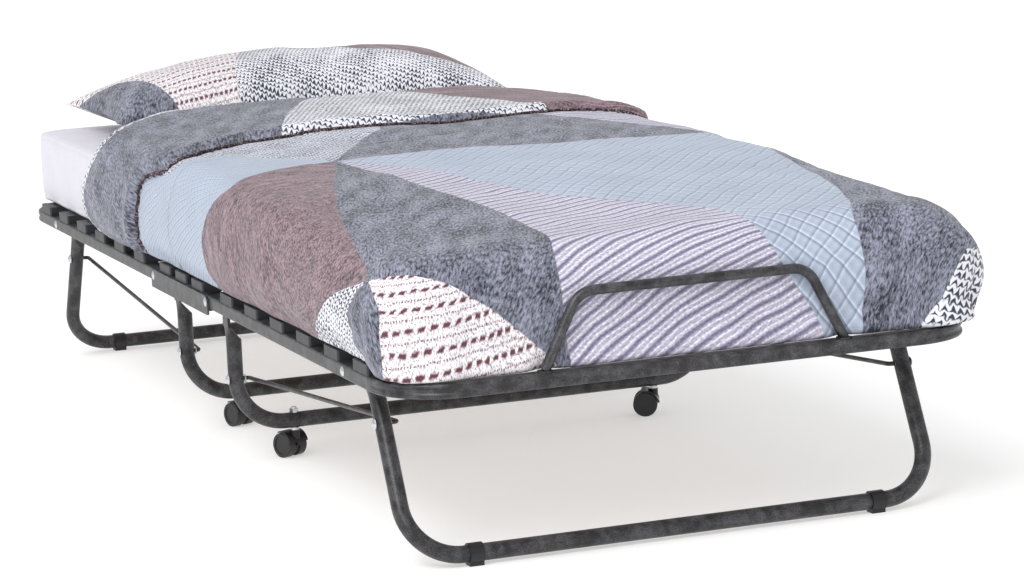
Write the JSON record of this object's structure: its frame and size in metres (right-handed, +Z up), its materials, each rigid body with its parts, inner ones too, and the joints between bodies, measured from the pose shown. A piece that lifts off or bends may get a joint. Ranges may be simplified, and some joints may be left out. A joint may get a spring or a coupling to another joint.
{
  "type": "folding cot",
  "caption": "Folding cot: tubular frame in two hinged halves with braced end legs, wheeled centre legs, slats, retaining bows, mattress, duvet and pillow",
  "frame": {"origin": "on the floor under the middle of the cot", "axes": "X across the width with the right-hand side seen from the foot at +X, Y along the length with the head at +Y and the foot at -Y, Z up"},
  "size_m": [0.8206, 1.9, 0.4993],
  "materials": {
    "frame_paint": "fine-textured charcoal powder coat",
    "zinc": "bright zinc plate",
    "slat_wood": "clear lacquered plywood",
    "holder_plastic": "moulded matte",
    "black_plastic": "moulded satin black",
    "wheel_plastic": "moulded dark grey",
    "mattress_cloth": "white woven ticking",
    "duvet_cloth": "patchwork of knits in slate, mauve, light blue and white",
    "pillow_cloth": "patchwork of knits in slate, mauve, light blue and white"
  },
  "bodies": {
    "middle": {"foot_centre_leg": "frame_paint", "foot_mattress_middle": "mattress_cloth", "head_centre_leg": "frame_paint", "head_mattress_middle": "mattress_cloth", "left_channel": "frame_paint", "left_centre_rail": "frame_paint", "right_channel": "frame_paint", "right_centre_rail": "frame_paint", "centre_slats": "slat_wood", "centre_slat_holders": "holder_plastic", "middle_rivets": "zinc", "castor_stems": "zinc", "castor_nuts": "zinc"},
    "foot_half": {"foot_frame": "frame_paint", "foot_bow": "frame_paint", "foot_leg_bolts": "zinc", "foot_leg_washers": "zinc", "foot_slat_holders": "holder_plastic", "foot_slat_1": "slat_wood", "foot_slat_2": "slat_wood", "foot_slat_3": "slat_wood", "foot_slat_4": "slat_wood", "foot_slat_5": "slat_wood", "foot_slat_6": "slat_wood", "foot_mattress": "mattress_cloth", "foot_duvet": "duvet_cloth"},
    "head_half": {"head_frame": "frame_paint", "head_bow": "frame_paint", "head_leg_bolts": "zinc", "head_leg_washers": "zinc", "head_slat_holders": "holder_plastic", "head_slat_1": "slat_wood", "head_slat_2": "slat_wood", "head_slat_3": "slat_wood", "head_slat_4": "slat_wood", "head_slat_5": "slat_wood", "head_slat_6": "slat_wood", "head_mattress": "mattress_cloth", "head_duvet": "duvet_cloth", "pillow": "pillow_cloth"},
    "foot_end_leg": {"foot_leg": "frame_paint", "foot_leg_clips": "black_plastic", "foot_rod_pins": "zinc"},
    "head_end_leg": {"head_leg": "frame_paint", "head_leg_clips": "black_plastic", "head_rod_pins": "zinc"},
    "foot_rods": {"foot_brace_rods": "frame_paint", "foot_rod_caps": "zinc"},
    "head_rods": {"head_brace_rods": "frame_paint", "head_rod_caps": "zinc"},
    "foot_left_castor": {"foot_left_castor_hood": "black_plastic"},
    "foot_right_castor": {"foot_right_castor_hood": "black_plastic"},
    "head_left_castor": {"head_left_castor_hood": "black_plastic"},
    "head_right_castor": {"head_right_castor_hood": "black_plastic"},
    "foot_left_wheels": {"foot_left_castor_wheels": "wheel_plastic"},
    "foot_right_wheels": {"foot_right_castor_wheels": "wheel_plastic"},
    "head_left_wheels": {"head_left_castor_wheels": "wheel_plastic"},
    "head_right_wheels": {"head_right_castor_wheels": "wheel_plastic"}
  },
  "joints": [
    {"name": "foot_fold", "type": "hinge", "parent": "middle", "child": "foot_half", "pos_m": [0, -0.138, 0.23875], "axis": [-1, 0, 0], "range_deg": [0, 90], "deforming": ["foot_duvet", "foot_mattress_middle"]},
    {"name": "head_fold", "type": "hinge", "parent": "middle", "child": "head_half", "pos_m": [0, 0.138, 0.23875], "axis": [1, 0, 0], "range_deg": [0, 90], "deforming": ["head_duvet", "pillow", "head_mattress_middle"]},
    {"name": "foot_leg_fold", "type": "hinge", "parent": "foot_half", "child": "foot_end_leg", "pos_m": [0, -0.74652, 0.23875], "axis": [1, 0, 0], "range_deg": [0, 104]},
    {"name": "foot_rod_pivot", "type": "hinge", "parent": "middle", "child": "foot_rods", "pos_m": [0, -0.127, 0.1225], "axis": [-1, 0, 0], "range_deg": [0, 84]},
    {"name": "head_leg_fold", "type": "hinge", "parent": "head_half", "child": "head_end_leg", "pos_m": [0, 0.74652, 0.23875], "axis": [-1, 0, 0], "range_deg": [0, 104]},
    {"name": "head_rod_pivot", "type": "hinge", "parent": "middle", "child": "head_rods", "pos_m": [0, 0.127, 0.1225], "axis": [1, 0, 0], "range_deg": [0, 84]},
    {"name": "foot_left_swivel", "type": "hinge", "parent": "middle", "child": "foot_left_castor", "pos_m": [-0.278, -0.127, 0.036], "axis": [0, 0, 1], "continuous": true},
    {"name": "foot_left_roll", "type": "hinge", "parent": "foot_left_castor", "child": "foot_left_wheels", "pos_m": [-0.28307, -0.11612, 0.018], "axis": [0.9063, 0.4226, 0], "continuous": true},
    {"name": "foot_right_swivel", "type": "hinge", "parent": "middle", "child": "foot_right_castor", "pos_m": [0.278, -0.127, 0.036], "axis": [0, 0, 1], "continuous": true},
    {"name": "foot_right_roll", "type": "hinge", "parent": "foot_right_castor", "child": "foot_right_wheels", "pos_m": [0.26712, -0.12193, 0.018], "axis": [0.4226, 0.9063, 0], "continuous": true},
    {"name": "head_left_swivel", "type": "hinge", "parent": "middle", "child": "head_left_castor", "pos_m": [-0.278, 0.127, 0.036], "axis": [0, 0, 1], "continuous": true},
    {"name": "head_left_roll", "type": "hinge", "parent": "head_left_castor", "child": "head_left_wheels", "pos_m": [-0.2821, 0.13828, 0.018], "axis": [0.9397, 0.342, 0], "continuous": true},
    {"name": "head_right_swivel", "type": "hinge", "parent": "middle", "child": "head_right_castor", "pos_m": [0.278, 0.127, 0.036], "axis": [0, 0, 1], "continuous": true},
    {"name": "head_right_roll", "type": "hinge", "parent": "head_right_castor", "child": "head_right_wheels", "pos_m": [0.27029, 0.13619, 0.018], "axis": [0.766, 0.6428, 0], "continuous": true}
  ],
  "couplings": [
    {"joint": "foot_leg_fold", "follows": "foot_fold", "ratio": 1.1496},
    {"joint": "foot_rod_pivot", "follows": "foot_fold", "ratio": 0.9217},
    {"joint": "head_leg_fold", "follows": "head_fold", "ratio": 1.1496},
    {"joint": "head_rod_pivot", "follows": "head_fold", "ratio": 0.9217}
  ]
}
